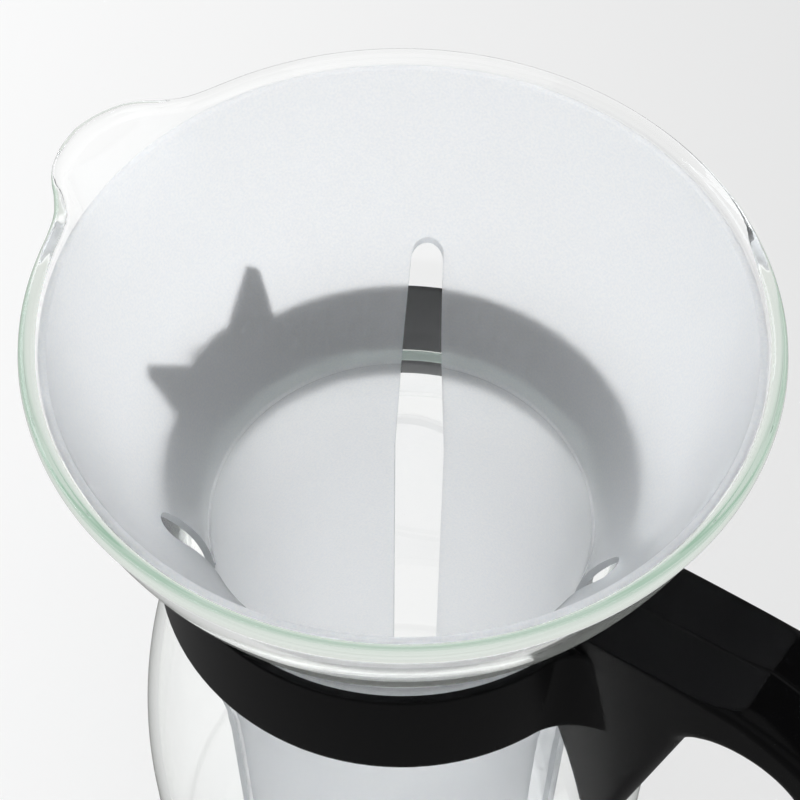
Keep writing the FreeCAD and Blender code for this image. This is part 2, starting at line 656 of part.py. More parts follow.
def make_strainer(doc, sizes):
    """Frosted ice strainer: a thin bowl and tube with three tall slots and a drained floor."""
    body = new_body(doc, "ice_strainer")
    wall = add_sketch(body, "wall_profile", "XZ_Plane")
    draw_outline(wall, [
        ("zero", "strainer_lift"),
        ("foot_flat_r", "strainer_lift", "foot_curve_out", LEFT),
        ("foot_out_r", "foot_corner_z"),
        ("tube_out_r", "tube_top_z", "strainer_neck_out", RIGHT),
        ("hang_out_r", "hang_out_z", "strainer_bowl_out", LEFT),
        ("strainer_top_out_r", "strainer_top_z"),
        ("strainer_top_in_r", "strainer_top_z", "strainer_bowl_in", RIGHT),
        ("hang_in_r", "hang_in_z", "strainer_neck_in", LEFT),
        ("tube_in_r", "tube_top_z"),
        ("foot_in_r", "foot_corner_z", "foot_curve_in", RIGHT),
        ("foot_flat_r", "foot_floor_z"),
        ("zero", "foot_floor_z"),
    ], sizes)
    turn_profile(body, "Revolution", "wall", wall)
    slot = add_sketch(body, "slot_outline", "YZ_Plane")
    draw_outline(slot, [
        ("-slot_half", "slot_heel_z", "slot_half", LEFT),
        ("zero", "slot_low_end", "slot_half", LEFT),
        ("slot_half", "slot_heel_z"),
        ("slot_half", "slot_full_z"),
        ("slot_top_half", "slot_shoulder_z", "slot_top_half", LEFT),
        ("zero", "slot_top_z", "slot_top_half", LEFT),
        ("-slot_top_half", "slot_shoulder_z"),
        ("-slot_half", "slot_full_z"),
    ], sizes)
    cut = push_profile(body, "Pocket", "slot", slot, "rim_radius", reverse=True)
    doc.recompute()
    repeat_round(body, "slots", cut, SLOT_COUNT)
    drain = add_sketch(body, "drain_outline", "XY_Plane")
    draw_outline(drain, [
        ("drain_near", "-drain_half"),
        ("drain_far", "-drain_half", "drain_half", LEFT),
        ("drain_outer", "zero", "drain_half", LEFT),
        ("drain_far", "drain_half"),
        ("drain_near", "drain_half", "drain_half", LEFT),
        ("drain_inner", "zero", "drain_half", LEFT),
    ], sizes)
    opening = push_profile(body, "Pocket", "drain", drain, "drain_reach", reverse=True)
    doc.recompute()
    repeat_round(body, "drains", opening, DRAIN_COUNT)
    return body


def add_handle_form(body, side, sizes):
    """Half of the handle: side outline padded from the parting plane, tapered and rounded."""
    profile = add_sketch(body, "handle_outline", "XZ_Plane")
    draw_outline(profile, [
        ("root_r", "brow_z"),
        ("crest_r", "crest_z", "knuckle_curve", RIGHT),
        ("knuckle_r", "knuckle_z", "bend_curve", RIGHT),
        ("grip_r", "grip_z", "grip_curve", RIGHT),
        ("grip_end_r", "grip_end_z", "grip_end_curve", RIGHT),
        ("grip_tip_r", "grip_tip_z", "grip_end_curve", RIGHT),
        ("grip_inner_r", "grip_inner_z", "grip_inner_curve", LEFT),
        ("arch_r", "arch_z", "arch_curve", LEFT),
        ("arch_top_r", "arch_top_z", "palm_curve", LEFT),
        ("palm_r", "palm_z", "palm_corner", LEFT),
        ("web_r", "web_z"),
        ("web_tip_r", "web_tip_z", "web_tip_corner", RIGHT),
        ("web_foot_r", "web_foot_z"),
        ("root_r", "web_foot_z"),
    ], sizes)
    push_profile(body, "Pad", "handle_pad", profile, "handle_half_width", reverse=side > 0)
    wedge = add_sketch(body, "taper_outline", "YZ_Plane")
    draw_outline(wedge, [
        (signed(side, "handle_half_width"), "crest_z"),
        (signed(side, "handle_low_half_width"), "taper_low_z"),
        (signed(side, "taper_clear_y"), "taper_low_z"),
        (signed(side, "taper_clear_y"), "crest_z"),
    ], sizes)
    push_profile(body, "Pocket", "side_taper", wedge, "rim_height", reverse=True)


def round_handle_edges(doc, body, side, sizes):
    """Round the outline of the handle's side face, which leans in below the crest."""
    doc.recompute()
    tip = body.Tip
    faces = [face for face in tip.Shape.Faces if abs(face.CenterOfMass.y) > sizes["handle_low_half_width"]]
    side_face = max(faces, key=lambda face: face.Area)
    names = []
    for index, edge in enumerate(tip.Shape.Edges, start=1):
        on_side = any(edge.isSame(border) for border in side_face.Edges)
        if on_side and edge.BoundBox.XMax > sizes["root_r"] + sizes["handle_edge"]:
            names.append("Edge%d" % index)
    fillet = body.newObject("PartDesign::Fillet", "side_rounding")
    fillet.Base = (tip, names)
    fillet.setExpression("Radius", cell("handle_edge"))


def scoop_thumb_rest(body, side, sizes):
    """Hollow the arm's top for the thumb; the hollow ends in a ridge at the crest."""
    scoop = add_sketch(body, "thumb_outline", "XZ_Plane")
    draw_outline(scoop, [
        ("root_r", "root_z"),
        ("thumb_r", "thumb_z", "thumb_curve", LEFT),
        ("crest_r", "crest_z"),
        ("crest_r", "above_rim"),
        ("root_r", "above_rim"),
    ], sizes)
    push_profile(body, "Pocket", "thumb_scoop", scoop, "taper_clear_y", reverse=side < 0)


def clear_glass(body, sizes):
    """Cut the handle back to a gap off the glass waist, shoulder and bowl."""
    sketch = add_sketch(body, "glass_outline", "XZ_Plane")
    draw_outline(sketch, [
        ("zero", "shoulder_z"),
        ("glass_clear_low_r", "shoulder_z", "glass_clear_curve", LEFT),
        ("glass_clear_joint_r", "glass_clear_joint_z", "collar_low_curve", RIGHT),
        ("collar_waist_r", "waist_height", "collar_high_curve", RIGHT),
        ("glass_clear_high_r", "glass_clear_high_z"),
        ("zero", "glass_clear_high_z"),
    ], sizes)
    turn_profile(body, "Groove", "glass_clearance", sketch)


def add_collar(body, side, sizes):
    """Half ring round the waist, bearing on two lands with a relief between them."""
    ring = add_sketch(body, "collar_profile", "XZ_Plane")
    draw_outline(ring, [
        ("collar_low_in", "collar_low", "collar_low_curve", RIGHT),
        ("relief_low_in", "relief_low"),
        ("relief_radius", "relief_low"),
        ("relief_radius", "relief_high"),
        ("relief_high_in", "relief_high", "collar_high_curve", RIGHT),
        ("collar_high_in", "collar_high"),
        ("collar_high_radius", "collar_high"),
        ("collar_low_radius", "collar_low"),
    ], sizes)
    feature = turn_profile(body, "Revolution", "collar_ring", ring, reverse=side < 0)
    feature.Angle = 180


def add_gusset(body, side, sizes):
    """Hollow round corner that runs the collar out into the side of the handle."""
    sections = []
    for level in ("low", "high"):
        prefix = "gusset_" + level + "_"
        sketch = add_sketch(body, prefix + "outline", "XY_Plane", "collar_" + level)
        draw_outline(sketch, [
            (prefix + "ring_x", signed(side, prefix + "ring_y"), prefix + "curve", side),
            (prefix + "side_x", signed(side, prefix + "side_y")),
            (prefix + "side_x", signed(side, prefix + "inner_y")),
            (prefix + "inner_x", signed(side, prefix + "inner_y")),
            (prefix + "bed_x", signed(side, prefix + "bed_y")),
        ], sizes)
        sections.append(sketch)
    loft = body.newObject("PartDesign::AdditiveLoft", "gusset")
    loft.Profile = sections[0]
    loft.Sections = sections[1:]


def add_ear(body, side, sizes):
    """Pointed ear beside the spout, a strip up the bowl trimmed to a slanted top."""
    strip = add_sketch(body, "ear_profile", "XZ_Plane")
    draw_outline(strip, [
        ("-ear_low_in", "ear_low_z", "collar_high_curve", LEFT),
        ("-ear_high_in", "ear_high_z"),
        ("-ear_high_out", "ear_high_z", "ear_outer_curve", RIGHT),
        ("-ear_low_out", "ear_low_z"),
    ], sizes)
    turn_profile(body, "Revolution", "ear_strip", strip, "ear_angle", reverse=side > 0)
    trim = add_sketch(body, "ear_outline", "YZ_Plane")
    draw_outline(trim, [
        ("zero", "ear_bridge_height"),
        (signed(side, "ear_inner_offset"), "ear_root_height"),
        (signed(side, "ear_tip_offset"), "ear_top"),
        (signed(side, "ear_side_offset"), "ear_side_height"),
        (signed(side, "ear_clear_y"), "above_rim"),
        ("zero", "above_rim"),
    ], sizes)
    push_profile(body, "Pocket", "ear_trim", trim, "rim_radius")


def add_knuckles(body, side, knuckles, recesses, sizes):
    """Hinge barrels of this half, after clearing the other half's barrels out of the ring."""
    for name, low, length in recesses:
        sketch = add_sketch(body, name + "_recess_outline", "XY_Plane", low)
        draw_circles(sketch, [("-barrel_x", "zero", "barrel_clearance")], sizes)
        push_profile(body, "Pocket", name + "_recess", sketch, length, reverse=True)
    for name, low, length in knuckles:
        sketch = add_sketch(body, name + "_knuckle_outline", "XY_Plane", low)
        draw_circles(sketch, [("-barrel_x", "zero", "barrel_radius")], sizes)
        push_profile(body, "Pad", name + "_knuckle", sketch, length)
    bore = add_sketch(body, "pin_bore_outline", "XY_Plane")
    draw_circles(bore, [("-barrel_x", "zero", "pin_hole")], sizes)
    push_profile(body, "Pocket", "pin_bore", bore, "rim_height", reverse=True)


def screw_circles(radius):
    return [(place + "_r", place + "_z", radius) for place in SCREW_PLACES]


def make_handle_half(doc, label, side, sizes):
    """One half of the handle and collar; side is 1 for +Y and -1 for -Y."""
    body = new_body(doc, label)
    add_handle_form(body, side, sizes)
    round_handle_edges(doc, body, side, sizes)
    scoop_thumb_rest(body, side, sizes)
    clear_glass(body, sizes)
    add_collar(body, side, sizes)
    add_gusset(body, side, sizes)
    add_ear(body, side, sizes)
    return body


def make_left_half(doc, sizes):
    """The half seen whole from the side: two outer knuckles and blind pilot holes."""
    body = make_handle_half(doc, "handle_left", -1, sizes)
    add_knuckles(body, -1, [
        ("lower", "barrel_low", "outer_knuckle"),
        ("upper", "upper_low_z", "outer_knuckle"),
    ], [("middle", "middle_recess_z", "middle_recess")], sizes)
    pilots = add_sketch(body, "pilot_outline", "XZ_Plane")
    draw_circles(pilots, screw_circles("screw_hole"), sizes)
    push_profile(body, "Pocket", "pilot_holes", pilots, "bite_depth", reverse=True)
    return body


def make_right_half(doc, sizes):
    """The half that the screws are driven from: the middle knuckle, through holes, head seats."""
    body = make_handle_half(doc, "handle_right", 1, sizes)
    add_knuckles(body, 1, [("middle", "middle_low_z", "barrel_middle")], [
        ("lower", "lower_recess_z", "outer_recess"),
        ("upper", "middle_high_z", "outer_recess"),
    ], sizes)
    holes = add_sketch(body, "screw_hole_outline", "XZ_Plane")
    draw_circles(holes, screw_circles("screw_hole"), sizes)
    push_profile(body, "Pocket", "screw_holes", holes, "taper_clear_y")
    seats = add_sketch(body, "head_seat_outline", "XZ_Plane", "-head_seat")
    draw_circles(seats, screw_circles("head_hole"), sizes)
    push_profile(body, "Pocket", "head_seats", seats, "taper_clear_y")
    return body


def make_screws(doc, sizes):
    """Screws that draw the two halves together, heads on the +Y side."""
    body = new_body(doc, "handle_screws")
    shanks = add_sketch(body, "shank_outline", "XZ_Plane", "screw_bite")
    draw_circles(shanks, screw_circles("screw_radius"), sizes)
    push_profile(body, "Pad", "shanks", shanks, "screw_length", reverse=True)
    heads = add_sketch(body, "head_outline", "XZ_Plane", "-head_seat")
    draw_circles(heads, screw_circles("screw_head_radius"), sizes)
    push_profile(body, "Pad", "heads", heads, "screw_head_height", reverse=True)
    return body


def make_pin(doc, sizes):
    """Upright pin through the knuckles."""
    pin = doc.addObject("Part::Cylinder", "hinge_pin")
    pin.Label = "hinge_pin"
    pin.setExpression("Radius", cell("pin_radius"))
    pin.setExpression("Height", cell("pin_length"))
    pin.setExpression("Placement.Base.x", cell("-barrel_x"))
    pin.setExpression("Placement.Base.z", cell("barrel_low"))
    return pin


def check_document(doc):
    """Stop on a feature that failed or a shape that is empty or broken."""
    for item in doc.Objects:
        if "Invalid" in item.State or "Error" in item.State:
            raise RuntimeError("failed feature: " + item.Name)
        if item.isDerivedFrom("Part::Feature") and not item.isDerivedFrom("Sketcher::SketchObject"):
            if item.Shape.isNull() or not item.Shape.isValid():
                raise RuntimeError("broken shape: " + item.Name)


def main():
    os.makedirs(OUT_FOLDER, exist_ok=True)
    doc = FreeCAD.newDocument("cold_brew_maker")
    sizes = all_sizes()
    write_sheet(doc, sizes)
    nodes = [
        make_glass(doc, sizes),
        make_strainer(doc, sizes),
        make_left_half(doc, sizes),
        make_right_half(doc, sizes),
        make_screws(doc, sizes),
        make_pin(doc, sizes),
    ]
    doc.recompute()
    check_document(doc)
    for node in nodes:
        node.Shape.exportStep(os.path.join(OUT_FOLDER, node.Label + ".step"))


main()
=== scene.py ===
import math

import bmesh
import bpy
import numpy as np
from mathutils import Matrix, Vector


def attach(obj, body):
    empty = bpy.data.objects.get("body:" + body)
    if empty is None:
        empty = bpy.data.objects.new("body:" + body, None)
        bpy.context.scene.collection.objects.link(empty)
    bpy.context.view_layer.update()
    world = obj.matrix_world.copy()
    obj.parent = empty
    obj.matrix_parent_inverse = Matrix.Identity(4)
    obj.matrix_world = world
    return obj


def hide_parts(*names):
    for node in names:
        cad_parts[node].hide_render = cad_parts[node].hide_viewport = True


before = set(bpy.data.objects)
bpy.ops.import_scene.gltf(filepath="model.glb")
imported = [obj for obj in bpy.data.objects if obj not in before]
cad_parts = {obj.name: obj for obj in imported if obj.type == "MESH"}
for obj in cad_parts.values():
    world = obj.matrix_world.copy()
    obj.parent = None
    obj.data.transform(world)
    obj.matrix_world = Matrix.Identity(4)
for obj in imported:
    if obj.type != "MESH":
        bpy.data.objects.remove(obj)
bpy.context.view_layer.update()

MM = 0.001
TAU = 2 * math.pi

# ---------------------------------------------------------------- sizes, in millimetres

RIM_Z, RIM_R, BEAD_R = 235.0, 70.0, 1.6
LIP_INSET, SKIN_DROP = 0.6, 0.6
LIP = (RIM_R - LIP_INSET, RIM_Z - BEAD_R)
BEAD_TRIM = 0.12  # radians left off each end of the bead, so that it runs into both skins
GLASS_WALL = 2.4
WAIST_R, WAIST_Z = 46.6, 163.6
BODY_R, BASE_CORNER, BASE_THICKNESS = 61.2, 13.0, 4.5
BOWL_CURVE, HIGH_CURVE, LOW_CURVE, SHOULDER_CURVE = 110.0, 69.0, 60.0, 240.0
BAND_Z, BAND_RIB, BAND_RIB_WIDTH, BAND_SKIN = (161.2, 164.6), 0.35, 0.35, 1.0

# (degrees off the spout's middle, how far the rim is pulled out)
SPOUT_OUTLINE = [(0.0, 10.3), (2.5, 9.95), (5.0, 9.2), (8.0, 7.75), (10.0, 5.9), (12.0, 3.7),
                 (14.5, 1.6), (17.0, 0.55), (20.0, 0.08), (24.0, 0.0)]
SPOUT_LENGTH, SPOUT_SOFT_SHARE = 27.0, 0.55

STRAINER_GAP, STRAINER_WALL, STRAINER_DROP, STRAINER_CROWN = 0.4, 1.4, 2.0, 0.25
STRAINER_TOP = RIM_Z - STRAINER_DROP
SEAT_Z, SEAT_RIB, SEAT_WIDTH = 167.6, 0.4, 0.55
TUBE_R, FOOT_R, TUBE_CURVE, FOOT_Z, FOOT_CORNER = 41.6, 40.8, 56.0, 16.0, 6.0
SLOT_TOP, SLOT_TOP_HALF, SLOT_HALF, SLOT_FULL, SLOT_LOW = 197.0, 3.45, 5.8, 135.0, 34.0
SLOT_COUNT, SLOT_CUT = 3, (20.0, 75.0)
DRAIN_COUNT, DRAIN_HALF, DRAIN_INNER, DRAIN_OUTER, DRAIN_CLEAR = 6, 2.2, 9.0, 29.0, 3.0

JOINT_HALF, JOINT_DEPTH, EDGE_ROUND = 0.45, 0.25, 1.0

# ---------------------------------------------------------------- fineness of the meshes

SEGMENTS = 240
BASE_RINGS, FOOT_RINGS = (0.0, 0.25, 0.5, 0.75, 0.92), (0.0, 0.3, 0.6, 0.85)
CORNER_STEPS, BODY_STEPS, SHOULDER_STEPS = 14, 6, 22
LOW_STEPS, HIGH_STEPS, BOWL_STEPS, BEAD_STEPS = 12, 16, 26, 16
FOOT_STEPS, TUBE_STEPS, HANG_STEPS = 8, 16, 16
SLOT_STEPS, DRAIN_STEPS = 10, 8
RIB_RINGS, RIB_REACH = 44, 4
STRAINER_CREASE, HANDLE_CREASE = 40, 48  # degrees from which an edge stays sharp
EDGE_SAMPLES = 8

# ---------------------------------------------------------------- looks
# Where a texture drives a socket, the plain value beside it stands in for what can't read it.

GLASS_IOR, GLASS_SHINE = 1.47, 0.10
GLASS_TINT, GLASS_DENSITY = (0.46, 0.70, 0.56), 7.0
GUIDED_TURNS, GUIDED_LIGHT = 2.5, (0.27, 0.275, 0.265)
# the waist band's pale green is a painted glow, for light run along the glass wall
BAND_COLOUR, BAND_ROUGHNESS, BAND_CLEARNESS = (0.76, 0.88, 0.81), 0.08, 0.12
FROST_COLOUR, FROST_PLAIN_ROUGHNESS, FROST_PLAIN_CLEARNESS = (0.95, 0.955, 0.96), 0.60, 0.82
FROST_IOR, FROST_SPECK, FROST_DETAIL = 1.14, (0.35, 0.65), 1.5
FROST_DARK, FROST_PALE = (0.91, 0.93, 0.96), (1.0, 1.0, 1.0)
FROST_ROUGHNESS, FROST_CLEARNESS = (0.58, 0.70), (0.76, 0.90)
CUT_COLOUR, CUT_ROUGHNESS, CUT_CLEARNESS, CUT_IOR = (0.66, 0.68, 0.70), 0.45, 0.3, 1.3
BLACK_COLOUR, BLACK_PLAIN_ROUGHNESS, BLACK_SHINE = (0.0022, 0.0022, 0.0024), 0.34, 0.09
BLACK_ROUGHNESS, BLACK_GRAIN, GRAIN_SHARE = (0.20, 0.30), 2600.0, 0.05
STEEL_COLOUR, STEEL_ROUGHNESS = (0.62, 0.62, 0.63), 0.3

# (noise scale, bump strength, bump distance in metres)
BAND_BUMP = (900.0, 0.05, 0.0001)
FROST_BUMP = (2000.0, 0.10, 0.0002)
CUT_BUMP = (2600.0, 0.2, 0.0002)
STEEL_BUMP = (1500.0, 0.1, 0.0001)

# ---------------------------------------------------------------- stage and camera, in metres

FLOOR_SIZE, FLOOR_COLOUR, FLOOR_ROUGHNESS, FLOOR_GLOW = 8.0, (0.86, 0.86, 0.855), 0.6, 0.80
# painted light: the floor's glow is darker towards the right and evens out far off
FALL_HEADING, FALL_SPAN, FALL_LEVELS = (0.81, 0.59, 0.0), (-0.16, 0.22), (0.96, 0.72)
FAR_SPAN, FAR_LEVEL = (0.4, 2.2), 1.0
# share of the floor's glow taken off where it is mirrored: a painted darker reflection
MIRROR_PAINTED_DIMMING, SURFACE_LOSS = 0.80, 0.029
SKY_COLOUR, SKY_LEVEL = (0.975, 0.985, 0.99), 0.92
SHINE_SPAN, SHINE_LEVELS = (0.25, 0.60), (0.6, 0.03)
LENS, SENSOR = 90.0, 36.0  # millimetres
CAMERA_PLACE = (0.1318, -0.1822, 0.5219)
CAMERA_HEADING, CAMERA_DIP, CAMERA_ROLL = 126.0, 54.28, 0.5  # degrees


# ---------------------------------------------------------------- shape helpers

def tangent_centre(point, radius, other, other_radius):
    """Centre of the arc through a point that runs smoothly into the arc about other."""
    reach = radius + other_radius
    dx, dz = other[0] - point[0], other[1] - point[1]
    span = math.hypot(dx, dz)
    along = (radius ** 2 - reach ** 2 + span ** 2) / (2 * span)
    across = math.sqrt(radius ** 2 - along ** 2)
    return (point[0] + (along * dx + across * dz) / span,
            point[1] + (along * dz - across * dx) / span)


def between(a, b, share):
    return (a[0] + (b[0] - a[0]) * share, a[1] + (b[1] - a[1]) * share)


def arc(centre, radius, start, finish, steps):
    """Points on a circle from the side of one point to that of another, the short way round."""
    a0 = math.atan2(start[1] - centre[1], start[0] - centre[0])
    a1 = math.atan2(finish[1] - centre[1], finish[0] - centre[0])
    turn = (a1 - a0 + math.pi) % TAU - math.pi
    return [(centre[0] + radius * math.cos(a0 + turn * k / steps),
             centre[1] + radius * math.sin(a0 + turn * k / steps)) for k in range(steps + 1)]


def half_circle(middle, radius, start, steps):
    """Half a circle about (0, middle), anticlockwise from an angle."""
    angles = [start + math.pi * k / steps for k in range(steps + 1)]
    return [(radius * math.cos(a), middle + radius * math.sin(a)) for a in angles]


def ribbed(points, heights, stand, width):
    """Give a profile fine ribs: at each height it stands out by stand, faded over about width."""
    low, high = min(heights) - RIB_REACH * width, max(heights) + RIB_REACH * width
    known_r, known_z = zip(*points)
    ring = []
    for z in np.linspace(low, high, RIB_RINGS):
        rise = sum(math.exp(-((z - height) / width) ** 2) for height in heights)
        ring.append((float(np.interp(z, known_z, known_r)) + stand * rise, float(z)))
    return [p for p in points if p[1] < low] + ring + [p for p in points if p[1] > high]


def new_object(name, verts, faces):
    mesh = bpy.data.meshes.new(name)
    mesh.from_pydata(verts, [], faces)
    mesh.validate()
    obj = bpy.data.objects.new(name, mesh)
    bpy.context.scene.collection.objects.link(obj)
    bm = bmesh.new()
    bm.from_mesh(mesh)
    bmesh.ops.recalc_face_normals(bm, faces=bm.faces)
    bm.to_mesh(mesh)
    bm.free()
    return obj


def lathe(name, points, shape=None):
    """Turn a profile of (r, z) in mm about the axis; shape(r, z, angle) may move each point.

    The profile starts and ends on the axis and touches it nowhere else.
    """
    verts, faces, rings = [], [], []
    for r, z in points:
        if r < 1e-6:
            rings.append([len(verts)])
            verts.append((0.0, 0.0, z * MM))
            continue
        ring = []
        for k in range(SEGMENTS):
            angle = TAU * k / SEGMENTS
            rr, zz = shape(r, z, angle) if shape else (r, z)
            ring.append(len(verts))
            verts.append((rr * math.cos(angle) * MM, rr * math.sin(angle) * MM, zz * MM))
        rings.append(ring)
    for low, high in zip(rings, rings[1:]):
        for k in range(SEGMENTS):
            j = (k + 1) % SEGMENTS
            if len(low) == 1:
                faces.append((low[0], high[j], high[k]))
            elif len(high) == 1:
                faces.append((low[k], low[j], high[0]))
            else:
                faces.append((low[k], low[j], high[j], high[k]))
    obj = new_object(name, verts, faces)
    smooth(obj)
    return obj


def prism(name, outline, low_x, high_x, mat):
    """Closed prism along X through an outline in the YZ plane, in mm."""
    count = len(outline)
    verts = [(x * MM, y * MM, z * MM) for x in (low_x, high_x) for y, z in outline]
    faces = [tuple(reversed(range(count))), tuple(range(count, 2 * count))]
    faces += [(k, (k + 1) % count, count + (k + 1) % count, count + k) for k in range(count)]
    obj = new_object(name, verts, faces)
    dress(obj, mat)
    return obj


def smooth(obj, crease=None):
    """Shade smooth, but for edges sharper than the crease, in degrees."""
    for poly in obj.data.polygons:
        poly.use_smooth = True
    if crease is not None:
        obj.data.set_sharp_from_angle(angle=math.radians(crease))


def cut(obj, cutter):
    """Take the cutter out of the object; the cut faces keep the cutter's material."""
    mod = obj.modifiers.new("cut", "BOOLEAN")
    mod.operation = "DIFFERENCE"
    mod.solver = "EXACT"
    mod.material_mode = "TRANSFER"
    mod.object = cutter
    depsgraph = bpy.context.evaluated_depsgraph_get()
    mesh = bpy.data.meshes.new_from_object(obj.evaluated_get(depsgraph))
    obj.modifiers.clear()
    obj.data = mesh
    bpy.data.objects.remove(cutter)


# ---------------------------------------------------------------- node helpers

def feed(tree, socket, value):
    """Give a socket a number, a colour or the output that drives it."""
    if isinstance(value, bpy.types.NodeSocket):
        tree.links.new(value, socket)
    elif socket.type == "RGBA":
        socket.default_value = (*value, 1.0)
    else:
        socket.default_value = value


def math_node(tree, operation, first, second=0.0):
    node = tree.nodes.new("ShaderNodeMath")
    node.operation = operation
    feed(tree, node.inputs[0], first)
    feed(tree, node.inputs[1], second)
    return node.outputs[0]


def vector_value(tree, operation, first, second=None):
    """One number made from a vector, or from two."""
    node = tree.nodes.new("ShaderNodeVectorMath")
    node.operation = operation
    feed(tree, node.inputs[0], first)
    if second is not None:
        feed(tree, node.inputs[1], second)
    return node.outputs["Value"]


def map_range(tree, value, given=(0.0, 1.0), wanted=(0.0, 1.0), kind="LINEAR"):
    """Carry a value from the span given to the span wanted."""
    node = tree.nodes.new("ShaderNodeMapRange")
    node.interpolation_type = kind
    feed(tree, node.inputs["Value"], value)
    for name, end in zip(("From Min", "From Max", "To Min", "To Max"), (*given, *wanted)):
        feed(tree, node.inputs[name], end)
    return node.outputs["Result"]


def mix_node(tree, kind, share, first, second):
    node = tree.nodes.new("ShaderNodeMix")
    node.data_type = kind
    for name, value in (("Factor", share), ("A", first), ("B", second)):
        feed(tree, node.inputs[name], value)
    return node.outputs["Result"]


def coordinate(tree, kind, axis=None):
    """A texture coordinate, or one axis of it."""
    place = tree.nodes.new("ShaderNodeTexCoord").outputs[kind]
    if axis is None:
        return place
    parts = tree.nodes.new("ShaderNodeSeparateXYZ")
    feed(tree, parts.inputs["Vector"], place)
    return parts.outputs[axis]


def light_path(tree):
    return tree.nodes.new("ShaderNodeLightPath").outputs


def object_noise(tree, scale, detail=3.0):
    noise = tree.nodes.new("ShaderNodeTexNoise")
    noise.inputs["Scale"].default_value = scale
    noise.inputs["Detail"].default_value = detail
    feed(tree, noise.inputs["Vector"], coordinate(tree, "Object"))
    return noise.outputs["Fac"]


def add_bump(tree, shader, height, strength, distance):
    bump = tree.nodes.new("ShaderNodeBump")
    bump.inputs["Strength"].default_value = strength
    bump.inputs["Distance"].default_value = distance
    feed(tree, bump.inputs["Height"], height)
    feed(tree, shader.inputs["Normal"], bump.outputs["Normal"])
    return bump


def noise_bump(tree, shader, recipe, detail=3.0):
    """Bump from noise by a recipe of (scale, strength, distance); gives the noise."""
    scale, strength, distance = recipe
    noise = object_noise(tree, scale, detail)
    add_bump(tree, shader, noise, strength, distance)
    return noise


def through_gain(tree, path):
    """Makes up for the light that each surface in between turns back."""
    lost = math_node(tree, "MULTIPLY", path["Transmission Depth"], SURFACE_LOSS)
    return math_node(tree, "ADD", lost, 1.0)


# ---------------------------------------------------------------- materials

def principled(name, colour, roughness, **sockets):
    mat = bpy.data.materials.new(name)
    mat.use_nodes = True
    tree = mat.node_tree
    shader = tree.nodes["Principled BSDF"]
    feed(tree, shader.inputs["Base Color"], colour)
    feed(tree, shader.inputs["Roughness"], roughness)
    for key, value in sockets.items():
        feed(tree, shader.inputs[key.replace("_", " ")], value)
    return mat, tree, shader


def clear_glass():
    """Clear glass, green in its depth, that glows faintly where light is guided in its wall.

    Such light is turned back more often than a render follows it, and would end in black.
    """
    mat, tree, shader = principled("clear_glass", (1.0, 1.0, 1.0), 0.0, Transmission_Weight=1.0,
                                   IOR=GLASS_IOR, Specular_IOR_Level=GLASS_SHINE,
                                   Emission_Strength=1.0)
    volume = tree.nodes.new("ShaderNodeVolumeAbsorption")
    feed(tree, volume.inputs["Color"], GLASS_TINT)
    feed(tree, volume.inputs["Density"], GLASS_DENSITY)
    feed(tree, tree.nodes["Material Output"].inputs["Volume"], volume.outputs["Volume"])
    guided = math_node(tree, "GREATER_THAN", light_path(tree)["Glossy Depth"], GUIDED_TURNS)
    glow = mix_node(tree, "RGBA", guided, (0.0, 0.0, 0.0), GUIDED_LIGHT)
    feed(tree, shader.inputs["Emission Color"], glow)
    return mat


def band_painted_glow():
    """The band at the waist, painted pale green: a painted glow for light that runs along the wall
    and comes out green.
    """
    mat, tree, shader = principled("band_painted_glow", BAND_COLOUR, BAND_ROUGHNESS,
                                   Transmission_Weight=BAND_CLEARNESS, IOR=GLASS_IOR)
    noise_bump(tree, shader, BAND_BUMP)
    return mat


def frosted_plastic():
    """Milky plastic whose fine specks differ in colour, roughness and clearness."""
    mat, tree, shader = principled("frosted_plastic", FROST_COLOUR, FROST_PLAIN_ROUGHNESS,
                                   Transmission_Weight=FROST_PLAIN_CLEARNESS, IOR=FROST_IOR)
    noise = noise_bump(tree, shader, FROST_BUMP, FROST_DETAIL)
    speck = map_range(tree, noise, FROST_SPECK)
    feed(tree, shader.inputs["Base Color"], mix_node(tree, "RGBA", speck, FROST_DARK, FROST_PALE))
    for socket, span in (("Roughness", FROST_ROUGHNESS), ("Transmission Weight", FROST_CLEARNESS)):
        feed(tree, shader.inputs[socket], map_range(tree, speck, wanted=span))
    return mat


def frosted_edge():
    """Cut faces of the frosted plastic, which turn more light away than its skin."""
    mat, tree, shader = principled("frosted_edge", CUT_COLOUR, CUT_ROUGHNESS,
                                   Transmission_Weight=CUT_CLEARNESS, IOR=CUT_IOR)
    noise_bump(tree, shader, CUT_BUMP)
    return mat


def black_plastic():
    """Finely grained black plastic with rounded edges and a groove where its two halves meet."""
    mat, tree, shader = principled("black_plastic", BLACK_COLOUR, BLACK_PLAIN_ROUGHNESS,
                                   Specular_IOR_Level=BLACK_SHINE)
    noise = object_noise(tree, BLACK_GRAIN)
    feed(tree, shader.inputs["Roughness"], map_range(tree, noise, wanted=BLACK_ROUGHNESS))
    off = math_node(tree, "ABSOLUTE", coordinate(tree, "Object", "Y"))
    groove = map_range(tree, off, (0.0, JOINT_HALF * MM), (-1.0, 0.0), "SMOOTHSTEP")
    grain = math_node(tree, "MULTIPLY", noise, GRAIN_SHARE)
    height = math_node(tree, "ADD", grain, groove)
    bump = add_bump(tree, shader, height, 1.0, JOINT_DEPTH * MM)
    edge = tree.nodes.new("ShaderNodeBevel")
    edge.samples = EDGE_SAMPLES
    edge.inputs["Radius"].default_value = EDGE_ROUND * MM
    feed(tree, bump.inputs["Normal"], edge.outputs["Normal"])
    return mat


def steel(name):
    mat, tree, shader = principled(name, STEEL_COLOUR, STEEL_ROUGHNESS, Metallic=1.0)
    noise_bump(tree, shader, STEEL_BUMP)
    return mat


def dress(obj, mat):
    obj.data.materials.clear()
    obj.data.materials.append(mat)


# ---------------------------------------------------------------- glass jug

